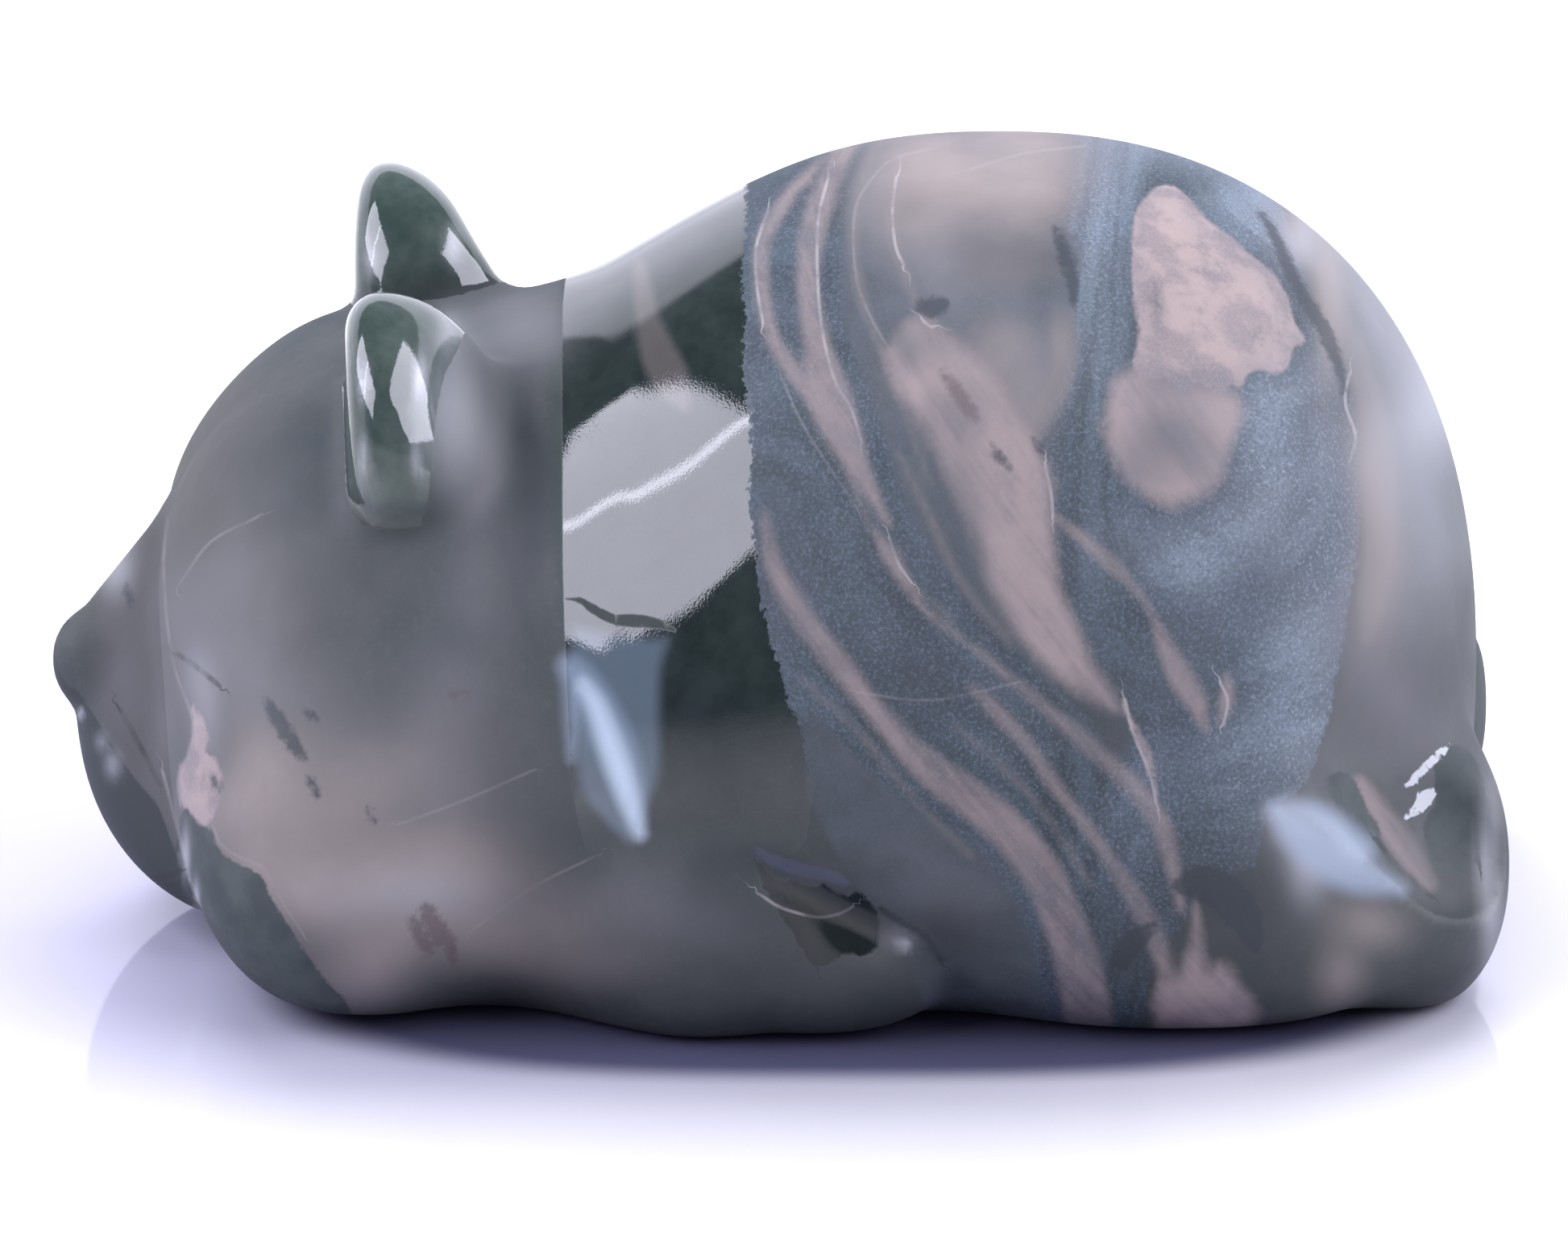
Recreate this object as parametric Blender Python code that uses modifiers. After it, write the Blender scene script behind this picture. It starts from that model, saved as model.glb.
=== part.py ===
"""Small prone panda, carved and polished from one piece of patterned stone.

The nose points to -Y, +Z is up and the flat underside lies on z = 0. The form is free carving, so every
place and half size below is a share of the carving's length, written in hundredths of it.
"""
import math

import bmesh
import bpy
from mathutils import Matrix, Vector

# The driving size: from the nose to the hind feet, in metres
LENGTH = 0.076
UNIT = LENGTH / 100

# Rounded masses of the trunk: centre, half sizes, and squareness (2 is an ellipsoid, more is boxier)
TORSO = ((0, 15.0, 18.2), (31.3, 33.0, 36.2), 2.33)
NECK = ((0, -8.6, 16.6), (30.4, 27.5, 26.6), 2.3)
HEAD = ((0, -22.9, 20.8), (25.8, 18.7, 21.0), 2.6)
BROW = ((4.6, -32.4, 25.7), (11.8, 8.3, 7.4), 2.3)
CHEEK = ((15.3, -27.9, 14.5), (15.0, 12.7, 15.5), 2.4)
HAUNCH = ((16.1, 27.4, 11.1), (14.5, 20.5, 12.8), 2.3)

# The torso narrows below its centre by this share of its width at the floor
BELLY_TUCK = 0.38

# Limbs that lie along the floor, and how far each fore limb turns outward towards its paw
FORE_LIMB = ((20.9, 0.8, 6.5), (7.9, 12.8, 7.2), 2.2)
FORE_LIMB_TURN = 8
HIND_FOOT = ((15.8, 42.4, 9.0), (8.8, 7.6, 10.4), 2.2)

# Ear: a round fin across the head, cut flat in front and sloping behind
EAR = ((14.5, -25.7, 40.4), (8.6, 11.8, 9.1), 2.0)
EAR_FRONT = ((15.1, -29.0, 39.5), (0.04, -1, -0.03))
EAR_BACK = ((15.1, -23.2, 47.5), (0.25, 0.82, 0.50))

# Muzzle: a rounded wedge that widens towards the floor, with a flat facet on each side and along the bridge
MUZZLE = ((0, -35.5, 15.8), (8.7, 12.5, 14.3), 2.6)
MUZZLE_FLARE = 1.1
MUZZLE_FLARE_TOP = 19.7
MUZZLE_FACET = ((2.3, -48.6, 18.4), (0.905, -0.337, 0.26))
MUZZLE_BRIDGE = ((0, -49.2, 20.0), (0, -0.784, 0.62))
NOSE = ((0, -47.1, 18.3), (3.3, 2.8, 3.0), 2.3)

# Carved hollows: the notch above each fore paw, the sole of each hind foot and the mouth
PAW_NOTCH = ((31.0, 4.0, 10.5), (2.9, 9.5, 2.5), 2.0)
PAW_NOTCH_TURN = (-34, 6)
SOLE = ((22.0, 44.0, 15.8), (3.9, 8.9, 6.4), 2.0)
SOLE_NORMAL = (0.734, 0.647, 0.208)
SOLE_RUN = (-0.26, 0.55, -0.79)
MOUTH_MIDDLE = (0, -45.4, 3.2)
MOUTH_CORNER = (8.2, -41.2, 5.0)
MOUTH_RADIUS = 0.7

# The two sides of the carving, as signs of x
SIDES = (1, -1)

# Blocks that cut away what lies beyond a plane: for one feature, and for the whole underside
FEATURE_BLOCK = 60
FLOOR_BLOCK = 150

# How finely the soft masses are merged, and how far their creases are worn round
TRUNK_GRAIN = 1.5
TRUNK_POLISH = 20
LIMB_GRAIN = 1.1
LIMB_POLISH = 5
BODY_FACES = 5600
EAR_GRAIN = 0.7
EAR_POLISH = 5
EAR_FACES = 420
FINE_SEGMENTS = 48
COARSE_SEGMENTS = 24
WELD = 0.03

STONE_COLOUR = (0.17, 0.20, 0.20, 1.0)
STONE_ROUGHNESS = 0.12


def clear_scene():
    for item in list(bpy.data.objects):
        bpy.data.objects.remove(item, do_unlink=True)


def make_collection(name):
    group = bpy.data.collections.new(name)
    bpy.context.scene.collection.children.link(group)
    return group


def add_object(name, mesh, group):
    item = bpy.data.objects.new(name, mesh)
    group.objects.link(item)
    return item


def evaluated_mesh(item):
    """The object's mesh with its modifiers applied."""
    graph = bpy.context.evaluated_depsgraph_get()
    graph.update()
    return bpy.data.meshes.new_from_object(item.evaluated_get(graph))


def rounded_mass(name, form, group, turn=None, segments=FINE_SEGMENTS):
    """A sphere drawn out to its half sizes and squared off, placed by its centre."""
    centre, half, squareness = form
    turn = turn or Matrix.Identity(3)
    shape = bmesh.new()
    bmesh.ops.create_uvsphere(shape, u_segments=segments, v_segments=segments // 2, radius=1)
    for vertex in shape.verts:
        reach = sum(abs(part) ** squareness for part in vertex.co) ** (-1 / squareness)
        stretched = Vector(part * reach * size for part, size in zip(vertex.co, half))
        vertex.co = (turn @ stretched + Vector(centre)) * UNIT
    mesh = bpy.data.meshes.new(name)
    shape.to_mesh(mesh)
    shape.free()
    return add_object(name, mesh, group)


def mirror(item):
    """Repeats an off-centre piece on the other side."""
    modifier = item.modifiers.new("both sides", "MIRROR")
    modifier.use_mirror_merge = False
    modifier.merge_threshold = 0.0001
    return item


def half_space(name, plane, group, reach=FEATURE_BLOCK):
    """A block whose inner face is the plane, for cutting away what lies beyond it."""
    point, normal = plane
    size = reach * UNIT
    bpy.ops.mesh.primitive_cube_add(size=size)
    item = bpy.context.object
    item.name = name
    item.users_collection[0].objects.unlink(item)
    group.objects.link(item)
    direction = Vector(normal).normalized()
    turn = direction.to_track_quat("Z", "Y").to_matrix().to_4x4()
    place = Matrix.Translation(Vector(point) * UNIT + direction * size / 2)
    item.data.transform(place @ turn)
    return item


def boolean(item, other, operation):
    modifier = item.modifiers.new(operation.lower() + " " + other.name, "BOOLEAN")
    modifier.operation = operation
    modifier.object = other
    modifier.solver = "EXACT"
    modifier.use_self = False
    return item


def merge_and_polish(name, pieces, group, grain, polish, faces=None):
    """Fuses overlapping masses into one skin and wears its creases round."""
    shape = bmesh.new()
    for piece in pieces:
        shape.from_mesh(evaluated_mesh(piece))
    mesh = bpy.data.meshes.new(name)
    shape.to_mesh(mesh)
    shape.free()
    item = add_object(name, mesh, group)
    skin = item.modifiers.new("one skin", "REMESH")
    skin.mode = "VOXEL"
    skin.voxel_size = grain * UNIT
    wear = item.modifiers.new("polish", "SMOOTH")
    wear.factor = 0.5
    wear.iterations = polish
    if faces:
        fused = evaluated_mesh(item)
        fused.calc_loop_triangles()
        thin = item.modifiers.new("fewer faces", "DECIMATE")
        thin.use_symmetry = True
        thin.symmetry_axis = "X"
        thin.ratio = faces / len(fused.loop_triangles)
    settled = evaluated_mesh(item)
    settled.name = name
    bpy.data.objects.remove(item, do_unlink=True)
    return add_object(name, settled, group)


def tuck_belly(torso):
    """Narrows the torso below its centre, so that it meets the floor on a narrower flat."""
    middle = TORSO[0][2] * UNIT
    for vertex in torso.data.vertices:
        depth = max(0.0, (middle - vertex.co.z) / middle)
        vertex.co.x *= 1 - BELLY_TUCK * min(depth, 1.0) ** 2
    return torso


def make_trunk(group):
    torso = tuck_belly(rounded_mass("torso", TORSO, group))
    masses = [torso, rounded_mass("neck", NECK, group), rounded_mass("head", HEAD, group)]
    pairs = (("brows", BROW), ("cheeks", CHEEK), ("haunches", HAUNCH))
    masses += [mirror(rounded_mass(name, form, group)) for name, form in pairs]
    return merge_and_polish("trunk", masses, group, TRUNK_GRAIN, TRUNK_POLISH)


def make_body(group):
    outward = Matrix.Rotation(math.radians(-FORE_LIMB_TURN), 3, "Z")
    limbs = [mirror(rounded_mass("fore limbs", FORE_LIMB, group, outward)),
             mirror(rounded_mass("hind feet", HIND_FOOT, group))]
    return merge_and_polish("body", [make_trunk(group)] + limbs, group, LIMB_GRAIN, LIMB_POLISH, BODY_FACES)


def make_ears(group):
    ear = rounded_mass("ear fin", EAR, group)
    boolean(ear, half_space("ear front", EAR_FRONT, group), "DIFFERENCE")
    boolean(ear, half_space("ear back", EAR_BACK, group), "DIFFERENCE")
    return mirror(merge_and_polish("ears", [ear], group, EAR_GRAIN, EAR_POLISH, EAR_FACES))


def make_muzzle(group):
    muzzle = rounded_mass("muzzle", MUZZLE, group)
    top = MUZZLE_FLARE_TOP * UNIT
    for vertex in muzzle.data.vertices:
        depth = max(0.0, 1 - vertex.co.z / top)
        vertex.co.x *= 1 + MUZZLE_FLARE * depth ** 4
    for side in SIDES:
        facet = [(side * x, y, z) for x, y, z in MUZZLE_FACET]
        boolean(muzzle, half_space("muzzle facet", facet, group), "DIFFERENCE")
    return boolean(muzzle, half_space("muzzle bridge", MUZZLE_BRIDGE, group), "DIFFERENCE")


def make_nose(group):
    return rounded_mass("nose", NOSE, group, segments=COARSE_SEGMENTS)


def make_paw_notches(group):
    lean, swing = (math.radians(angle) for angle in PAW_NOTCH_TURN)
    turn = Matrix.Rotation(swing, 3, "Z") @ Matrix.Rotation(lean, 3, "X")
    return mirror(rounded_mass("paw notches", PAW_NOTCH, group, turn, COARSE_SEGMENTS))


def make_soles(group):
    across = Vector(SOLE_NORMAL).normalized()
    along = Vector(SOLE_RUN)
    along = (along - across * along.dot(across)).normalized()
    turn = Matrix((across, along, across.cross(along))).transposed()
    return mirror(rounded_mass("soles", SOLE, group, turn, COARSE_SEGMENTS))


def make_groove(side, group):
    """A short round groove from the middle of the lip to one corner of the mouth."""
    start = Vector(MOUTH_MIDDLE) * UNIT
    run = Vector(MOUTH_CORNER) * UNIT - start
    run.x *= side
    shape = bmesh.new()
    bmesh.ops.create_cone(shape, cap_ends=True, segments=8, radius1=MOUTH_RADIUS * UNIT,
                          radius2=MOUTH_RADIUS * UNIT, depth=run.length * 1.1)
    turn = run.to_track_quat("Z", "Y").to_matrix().to_4x4()
    shape.transform(Matrix.Translation(start + run / 2) @ turn)
    mesh = bpy.data.meshes.new("mouth groove")
    shape.to_mesh(mesh)
    shape.free()
    return add_object("mouth groove", mesh, group)


def make_floor(group):
    return half_space("floor", ((0, 0, 0), (0, 0, -1)), group, FLOOR_BLOCK)


def tidy_and_centre(mesh):
    """Welds the specks left by the cuts and centres the carving's length on the origin."""
    shape = bmesh.new()
    shape.from_mesh(mesh)
    bmesh.ops.triangulate(shape, faces=shape.faces)
    bmesh.ops.dissolve_degenerate(shape, edges=shape.edges, dist=WELD * UNIT)
    bmesh.ops.triangulate(shape, faces=shape.faces)
    along = [vertex.co.y for vertex in shape.verts]
    bmesh.ops.translate(shape, verts=shape.verts, vec=(0, -(min(along) + max(along)) / 2, 0))
    shape.to_mesh(mesh)
    shape.free()
    return mesh


def stone():
    material = bpy.data.materials.new("polished stone")
    material.use_nodes = True
    shader = material.node_tree.nodes["Principled BSDF"]
    shader.inputs["Base Color"].default_value = STONE_COLOUR
    shader.inputs["Roughness"].default_value = STONE_ROUGHNESS
    shader.inputs["Metallic"].default_value = 0.0
    return material


def main():
    clear_scene()
    finished = make_collection("crystal panda carving")
    shop = make_collection("cutters and rough masses")
    carving = make_body(shop)
    for piece in (make_ears(shop), make_muzzle(shop), make_nose(shop)):
        boolean(carving, piece, "UNION")
    grooves = [make_groove(side, shop) for side in SIDES]
    for cutter in [make_paw_notches(shop), make_soles(shop), *grooves, make_floor(shop)]:
        boolean(carving, cutter, "DIFFERENCE")
    panda = add_object("panda_carving", tidy_and_centre(evaluated_mesh(carving)), finished)
    panda.data.materials.clear()
    panda.data.materials.append(stone())
    panda.data.shade_smooth()
    for item in shop.objects:
        item.hide_render = True
        item.display_type = "WIRE"


main()
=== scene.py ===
"""The look of the carved stone panda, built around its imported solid.

Forms and places are in millimetres in the part's own axes: the nose points to negative Y, positive Z is up
and the photograph is taken from the side of positive X, from a little above. Markings are drawn in pixels of
the 1946 x 1557 frame, and run through the stone along the photograph's view.
"""
import math

import bpy
import numpy as np
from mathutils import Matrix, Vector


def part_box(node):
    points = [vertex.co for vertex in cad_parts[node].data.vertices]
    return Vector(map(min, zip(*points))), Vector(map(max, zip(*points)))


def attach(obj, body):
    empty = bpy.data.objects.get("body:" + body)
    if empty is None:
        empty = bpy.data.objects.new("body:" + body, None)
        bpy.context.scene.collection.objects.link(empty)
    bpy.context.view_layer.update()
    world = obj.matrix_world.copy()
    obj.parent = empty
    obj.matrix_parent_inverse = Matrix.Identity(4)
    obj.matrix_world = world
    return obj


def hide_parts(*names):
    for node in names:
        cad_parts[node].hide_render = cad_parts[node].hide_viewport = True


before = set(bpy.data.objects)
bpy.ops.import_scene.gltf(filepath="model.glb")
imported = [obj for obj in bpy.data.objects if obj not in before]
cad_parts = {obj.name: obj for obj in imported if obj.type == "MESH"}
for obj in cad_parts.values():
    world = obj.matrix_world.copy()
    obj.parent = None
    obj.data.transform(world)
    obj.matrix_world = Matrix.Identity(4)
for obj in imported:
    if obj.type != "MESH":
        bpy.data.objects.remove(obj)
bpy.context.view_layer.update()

import openvdb
from mathutils import Vector

NODE = "panda_carving"
MM = 0.001

# The photograph's camera, in millimetres and pixels
FRAME_WIDTH, FRAME_HEIGHT = 1946, 1557
PIXELS_PER_MM = 23.7
CAMERA_DISTANCE = 700.0
CAMERA_TILT = math.radians(20)
CAMERA_AIM = (0.0, 0.4, 15.56)
SENSOR = 36.0

# Form
VOXEL = 0.42
GRID_LOW = (-25.5, -39.5, -1.6)
GRID_HIGH = (25.5, 39.5, 43.0)
GRID_DEPTH = 3.0
SKIN_PASSES = 3
HEAD_BLEND = 4

# Masses as a centre, half sizes and a power: those beside the middle are cut alike on both sides
TORSO = (0, 11.4, 13.8), (23.6, 24.9, 27.4), 2.33
NECK = (0, -6.5, 13.2), (20.8, 19, 18.7), 2.2
HAUNCH = (12.2, 20.8, 8.4), (10.6, 15.2, 9.4), 2.3
SKULL = (0, -17.4, 15.8), (19.4, 14.0, 15.7), 2.6
BROW = (3.5, -24.6, 19.5), (9.0, 6.3, 5.6), 2.3
CHEEK = (11.6, -21.2, 11.0), (11.0, 9.3, 11.4), 2.4
EAR = (11.0, -19.5, 30.7), (6.4, 9.0, 6.8), 2.0
NOSE = (0, -35.7, 13.8), (1.8, 2.1, 2.2), 2.3
FORE_LIMB = (15.9, 0.6, 4.9), (5.8, 9.4, 5.3), 2.2
HIND_FOOT = (12.0, 32.2, 6.8), (6.4, 5.4, 7.6), 2.2
PAW_NOTCH = (23.6, 3.0, 8.0), (2.2, 7.2, 1.9), 2.0
SOLE_HOLLOW_HALF = (3.0, 6.8, 4.9)

# Planes as a point and a normal, and the mouth as two ends with their radii
BELLY_TUCK = (19.5, 11, 3.4), (0.62, 0, -0.78)
EAR_FACE = (11.5, -21.9, 30), (0.04, -1, -0.03)
EAR_SLOPE = (11.5, -17.45, 36.3), (0.25, 0.82, 0.50)
MUZZLE_FACET = (2.3, -36.9, 14.0), (0.905, -0.337, 0.26)
MOUTH = (0, -34.3, 2.6), (5.8, -31.5, 3.8), 0.5, 0.1

# The muzzle's mass, which leans forward and flares towards the floor
MUZZLE_CENTRE = (0, -27, 12)
MUZZLE_HALF = (6.6, 9.5, 10.9)
MUZZLE_POWER = 2.7
MUZZLE_RIDGE = 1.8
MUZZLE_LEAN, LEAN_LEVEL = 0.05, 7
FLARE, FLARE_TOP, FLARE_HEIGHT = 7.1, 15, 13


def turn_matrix(axis, degrees):
    a = math.radians(degrees)
    c, s = math.cos(a), math.sin(a)
    if axis == "x":
        return np.array([[1, 0, 0], [0, c, -s], [0, s, c]])
    return np.array([[c, -s, 0], [s, c, 0], [0, 0, 1]])


def axes_of(normal, run):
    n = np.array(normal, float)
    n /= np.linalg.norm(n)
    t = np.array(run, float)
    t -= n * (t @ n)
    t /= np.linalg.norm(t)
    return np.stack([n, t, np.cross(n, t)], 1)


LIMB_TURN = turn_matrix("z", -8)
NOTCH_TURN = turn_matrix("z", 6) @ turn_matrix("x", -34)
SOLE_AXES = axes_of((0.734, 0.647, 0.208), (-0.26, 0.55, -0.79))
SOLE_CENTRE = np.array([15.4, 32.3, 11.6]) + 1.8 * SOLE_AXES[:, 0]


def into(p, centre, basis=None):
    """Coordinates of p about a centre, in the axes that are the columns of basis."""
    q = [p[i] - centre[i] for i in range(3)]
    if basis is None:
        return q
    return [basis[0, i] * q[0] + basis[1, i] * q[1] + basis[2, i] * q[2] for i in range(3)]


def mass(p, centre, half, power, basis=None):
    """About the distance to a rounded mass: power 2 is an ellipsoid, and more is boxier."""
    q = [np.abs(c) / h for c, h in zip(into(p, centre, basis), half)]
    k = np.maximum(q[0] ** power + q[1] ** power + q[2] ** power, 1e-9) ** (1 / power)
    slope = sum((c ** (power - 1) / h) ** 2 for c, h in zip(q, half))
    return (k - 1) / np.maximum(np.sqrt(slope) * k ** (1 - power), 1e-6)


def plane(p, point, normal):
    n = np.array(normal, float)
    n /= np.linalg.norm(n)
    return sum(n[i] * (p[i] - point[i]) for i in range(3))


def bar(p, a, b, radius_a, radius_b):
    a, b = np.array(a, float), np.array(b, float)
    d = b - a
    t = np.clip(sum((p[i] - a[i]) * d[i] for i in range(3)) / (d @ d), 0, 1)
    gap = np.sqrt(sum((p[i] - a[i] - t * d[i]) ** 2 for i in range(3)))
    return gap - (radius_a + (radius_b - radius_a) * t)


def fuse(a, b, width):
    """Two forms in one, with a smooth blend of that width where they meet."""
    h = np.maximum(width - np.abs(a - b), 0) / width
    return np.minimum(a, b) - h * h * width / 4


def cut(a, b, width):
    """What two forms share, with an edge rounded over that width."""
    return -fuse(-a, -b, width)


def ramp(t):
    t = np.clip(t, 0, 1)
    return t * t * (3 - 2 * t)


def rise(t, start, length):
    """0 up to start, and 1 from start plus length on."""
    return ramp((t - start) / length)


def fall(t, end, length):
    """1 up to end less length, and 0 from end on."""
    return ramp((end - t) / length)


def bell(t, centre, spread):
    return np.exp(-0.5 * ((t - centre) / spread) ** 2)


def folded(p):
    """The same places, with those of the far half brought over to the near one."""
    return [np.abs(p[0]), p[1], p[2]]


def trunk(p):
    torso = cut(mass(p, *TORSO), plane(folded(p), *BELLY_TUCK), width=9)
    return fuse(fuse(torso, mass(p, *NECK), width=8), mass(folded(p), *HAUNCH), width=3.5)


def head(p):
    skull = fuse(mass(p, *SKULL), mass(folded(p), *BROW), width=4)
    return fuse(skull, mass(folded(p), *CHEEK), width=4)


def ear(p):
    fin = cut(mass(folded(p), *EAR), plane(folded(p), *EAR_FACE), width=2.2)
    return cut(fin, plane(folded(p), *EAR_SLOPE), width=3)


def muzzle(p):
    """Two facets that meet in a rounded ridge, kept inside the muzzle's mass."""
    x, y, z = p
    facets = plane([np.sqrt(x * x + MUZZLE_RIDGE ** 2), y, z], *MUZZLE_FACET)
    half_width, half_length, half_height = MUZZLE_HALF
    half_width = half_width + FLARE * np.clip((FLARE_TOP - z) / FLARE_HEIGHT, 0, 1.2) ** 4
    forward = y - MUZZLE_CENTRE[1] + MUZZLE_LEAN * (z - LEAN_LEVEL)
    level = (x / half_width) ** 2 + (forward / half_length) ** 2
    upright = np.abs((z - MUZZLE_CENTRE[2]) / half_height)
    k = np.maximum(level ** (MUZZLE_POWER / 2) + upright ** MUZZLE_POWER, 1e-6) ** (1 / MUZZLE_POWER)
    body = (k - 1) * np.minimum(half_width, half_length) * np.clip(k, 0.3, 1)
    return cut(facets, body, width=0.5)


def valley(p):
    """How far the sides are pressed in behind the head."""
    x, y, z = p
    beside = rise(np.abs(x), start=6, length=4) * rise(z, start=3, length=5) * fall(z, end=37, length=5)
    dent = 0.95 * bell(y, centre=-13.9, spread=2.7)
    swell = 0.17 * bell(y, centre=-9.2, spread=2.0) + 0.1 * bell(y, centre=-3.5, spread=2.5)
    return beside * (dent - swell)


def carving(p):
    """About the distance to the carving's surface, in millimetres, negative inside the stone."""
    y, z = p[1], p[2]
    q = folded(p)
    f = fuse(trunk(p), head(p), width=HEAD_BLEND)
    f = fuse(f, ear(p), width=1.4)
    f = fuse(f, muzzle(p), width=1.0)
    f = fuse(f, mass(p, *NOSE), width=1.1)
    f = fuse(f, mass(q, *FORE_LIMB, LIMB_TURN), width=6 - 5.1 * rise(y, start=-6, length=8))
    f = f + valley(p)
    f = fuse(f, mass(q, *HIND_FOOT), width=1.6)
    f = cut(f, -mass(q, *PAW_NOTCH, NOTCH_TURN), width=0.5)
    hollow = mass(q, SOLE_CENTRE, SOLE_HOLLOW_HALF, 2.0, SOLE_AXES)
    f = cut(f, -hollow, width=0.5 + 3.5 * rise(z, start=8, length=7))
    f = cut(f, -bar(q, *MOUTH), width=0.3)
    return cut(f, -z, width=0.8)


def slope_of(points, step=0.02):
    columns = []
    for i in range(3):
        ahead, behind = points.copy(), points.copy()
        ahead[:, i] += step
        behind[:, i] -= step
        columns.append((carving(ahead.T) - carving(behind.T)) / (2 * step))
    return np.stack(columns, 1)


def skin():
    """Corner points and faces of the carving's surface, in millimetres."""
    low = np.array(GRID_LOW)
    count = np.ceil((np.array(GRID_HIGH) - low) / VOXEL).astype(int) + 1
    lines = [(low[i] + VOXEL * np.arange(count[i])) for i in range(3)]
    depth = carving(np.meshgrid(*lines, indexing="ij"))
    grid = openvdb.FloatGrid(background=GRID_DEPTH)
    grid.copyFromArray(np.clip(depth, -GRID_DEPTH, GRID_DEPTH).astype(np.float32))
    points, triangles, quads = grid.convertToPolygons(isovalue=0.0, adaptivity=0.0)
    points = points.astype(float) * VOXEL + low
    for _ in range(SKIN_PASSES):
        slope = slope_of(points)
        short = np.clip(carving(points.T), -VOXEL, VOXEL)
        points -= short[:, None] * slope / np.maximum((slope ** 2).sum(1), 0.25)[:, None]
    return points, [face[::-1] for face in quads.tolist() + triangles.tolist()]


# Markings of the stone
FAR_GAP = 6.0
BACK = np.array([math.cos(CAMERA_TILT), 0.0, math.sin(CAMERA_TILT)])
RIGHT = np.array([0.0, 1.0, 0.0])
UP = np.cross(BACK, RIGHT)

# Soft spots: how far their edges wander, as a share of their size, and how steeply they fade
SPOT_WOBBLE = 0.22
SPOT_POWER = 2.1

# How far the streaks of the slate look for the lines that they follow
FLOW_REACH = 60.0

# Below, strokes are x, y and half width in pixels, patches are corners, and spots are x, y, half width,
# half height and strength

# A short crisp vein beside the haunch
VEINS = [
    [(1388, 868, 3), (1403, 905, 4), (1420, 945, 5), (1430, 985, 2)],
]

# The crisp upper part of the patch on the back, and the soft lobe below it
BACK_PATCH = [
    (1402, 270), (1425, 237), (1450, 228), (1480, 260), (1512, 287), (1546, 317), (1580, 347), (1598, 392),
    (1614, 424), (1600, 428), (1592, 456), (1575, 463), (1556, 458), (1541, 468), (1536, 482), (1520, 476),
    (1506, 490), (1480, 476), (1462, 484), (1440, 468), (1420, 470), (1400, 452), (1406, 420), (1401, 370),
    (1400, 320),
]
BACK_LOBE = [
    (1396, 462), (1430, 462), (1480, 472), (1525, 488), (1536, 515), (1522, 552), (1500, 600), (1470, 620),
    (1440, 626), (1402, 606), (1380, 572), (1366, 530), (1374, 484),
]

# Crisp pink patches
PATCHES = [
    BACK_PATCH,
    [(224, 952), (234, 936), (240, 900), (238, 872), (250, 884), (259, 912), (256, 932), (268, 940),
     (276, 962), (271, 996), (259, 1026), (243, 1016), (228, 1002), (222, 978)],
]

# Soft pink ones: the lobe, the long wedge and the one at the foot of the haunch
SWATHS = [
    BACK_LOBE,
    [(1102, 446), (1116, 408), (1141, 392), (1170, 414), (1208, 450), (1242, 486), (1268, 524), (1284, 556),
     (1296, 588), (1301, 640), (1303, 690), (1313, 739), (1333, 782), (1354, 834), (1385, 880), (1343, 858),
     (1290, 824), (1243, 760), (1217, 708), (1200, 655), (1178, 600), (1146, 539), (1110, 480)],
    [(1428, 1240), (1442, 1218), (1462, 1206), (1478, 1180), (1492, 1204), (1512, 1196), (1534, 1224),
     (1552, 1258), (1530, 1292), (1440, 1292)],
]

# The long vein down the flank, and all the pink threads
LONG_VEIN = [
    (944, 635, 3), (958, 700, 10), (984, 752, 13), (1022, 803, 14), (1062, 856, 14), (1103, 905, 16),
    (1152, 954, 20), (1202, 992, 23), (1248, 1030, 24), (1284, 1076, 24), (1308, 1125, 24), (1326, 1175, 27),
    (1340, 1225, 28), (1346, 1265, 28),
]
THREADS = [
    [(1019, 200, 4), (981, 237, 7), (959, 269, 8), (943, 300, 8), (941, 337, 8), (944, 375, 8),
     (953, 412, 9), (970, 446, 9), (998, 482, 10), (1018, 520, 8)],
    [(1052, 172, 12), (1034, 205, 14), (1010, 270, 15), (1000, 337, 13), (1003, 387, 13), (1012, 431, 16),
     (1022, 482, 24), (1036, 525, 24), (1056, 569, 15), (1078, 612, 9), (1098, 650, 4)],
    [(1088, 665, 3), (1104, 694, 9), (1120, 722, 6), (1150, 762, 2), (1200, 800, 3), (1242, 834, 5),
     (1290, 876, 6), (1345, 922, 8), (1396, 970, 11), (1432, 1016, 12), (1450, 1070, 9), (1460, 1125, 5)],
    LONG_VEIN,
    [(1200, 850, 3), (1232, 882, 8), (1270, 922, 7), (1303, 972, 7), (1340, 1020, 7), (1372, 1066, 8),
     (1402, 1112, 10), (1426, 1155, 10), (1440, 1205, 11), (1442, 1245, 14)],
    [(1303, 640, 4), (1340, 668, 7), (1372, 698, 7), (1402, 728, 4), (1424, 760, 4), (1441, 802, 10),
     (1461, 842, 15), (1480, 872, 12), (1490, 905, 4)],
    [(1518, 838, 4), (1516, 868, 10), (1508, 898, 3)],
    [(1478, 1110, 3), (1480, 1160, 7), (1472, 1205, 10)],
    [(1682, 972, 10), (1706, 1010, 15), (1738, 1055, 15), (1768, 1095, 9)],
]

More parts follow.
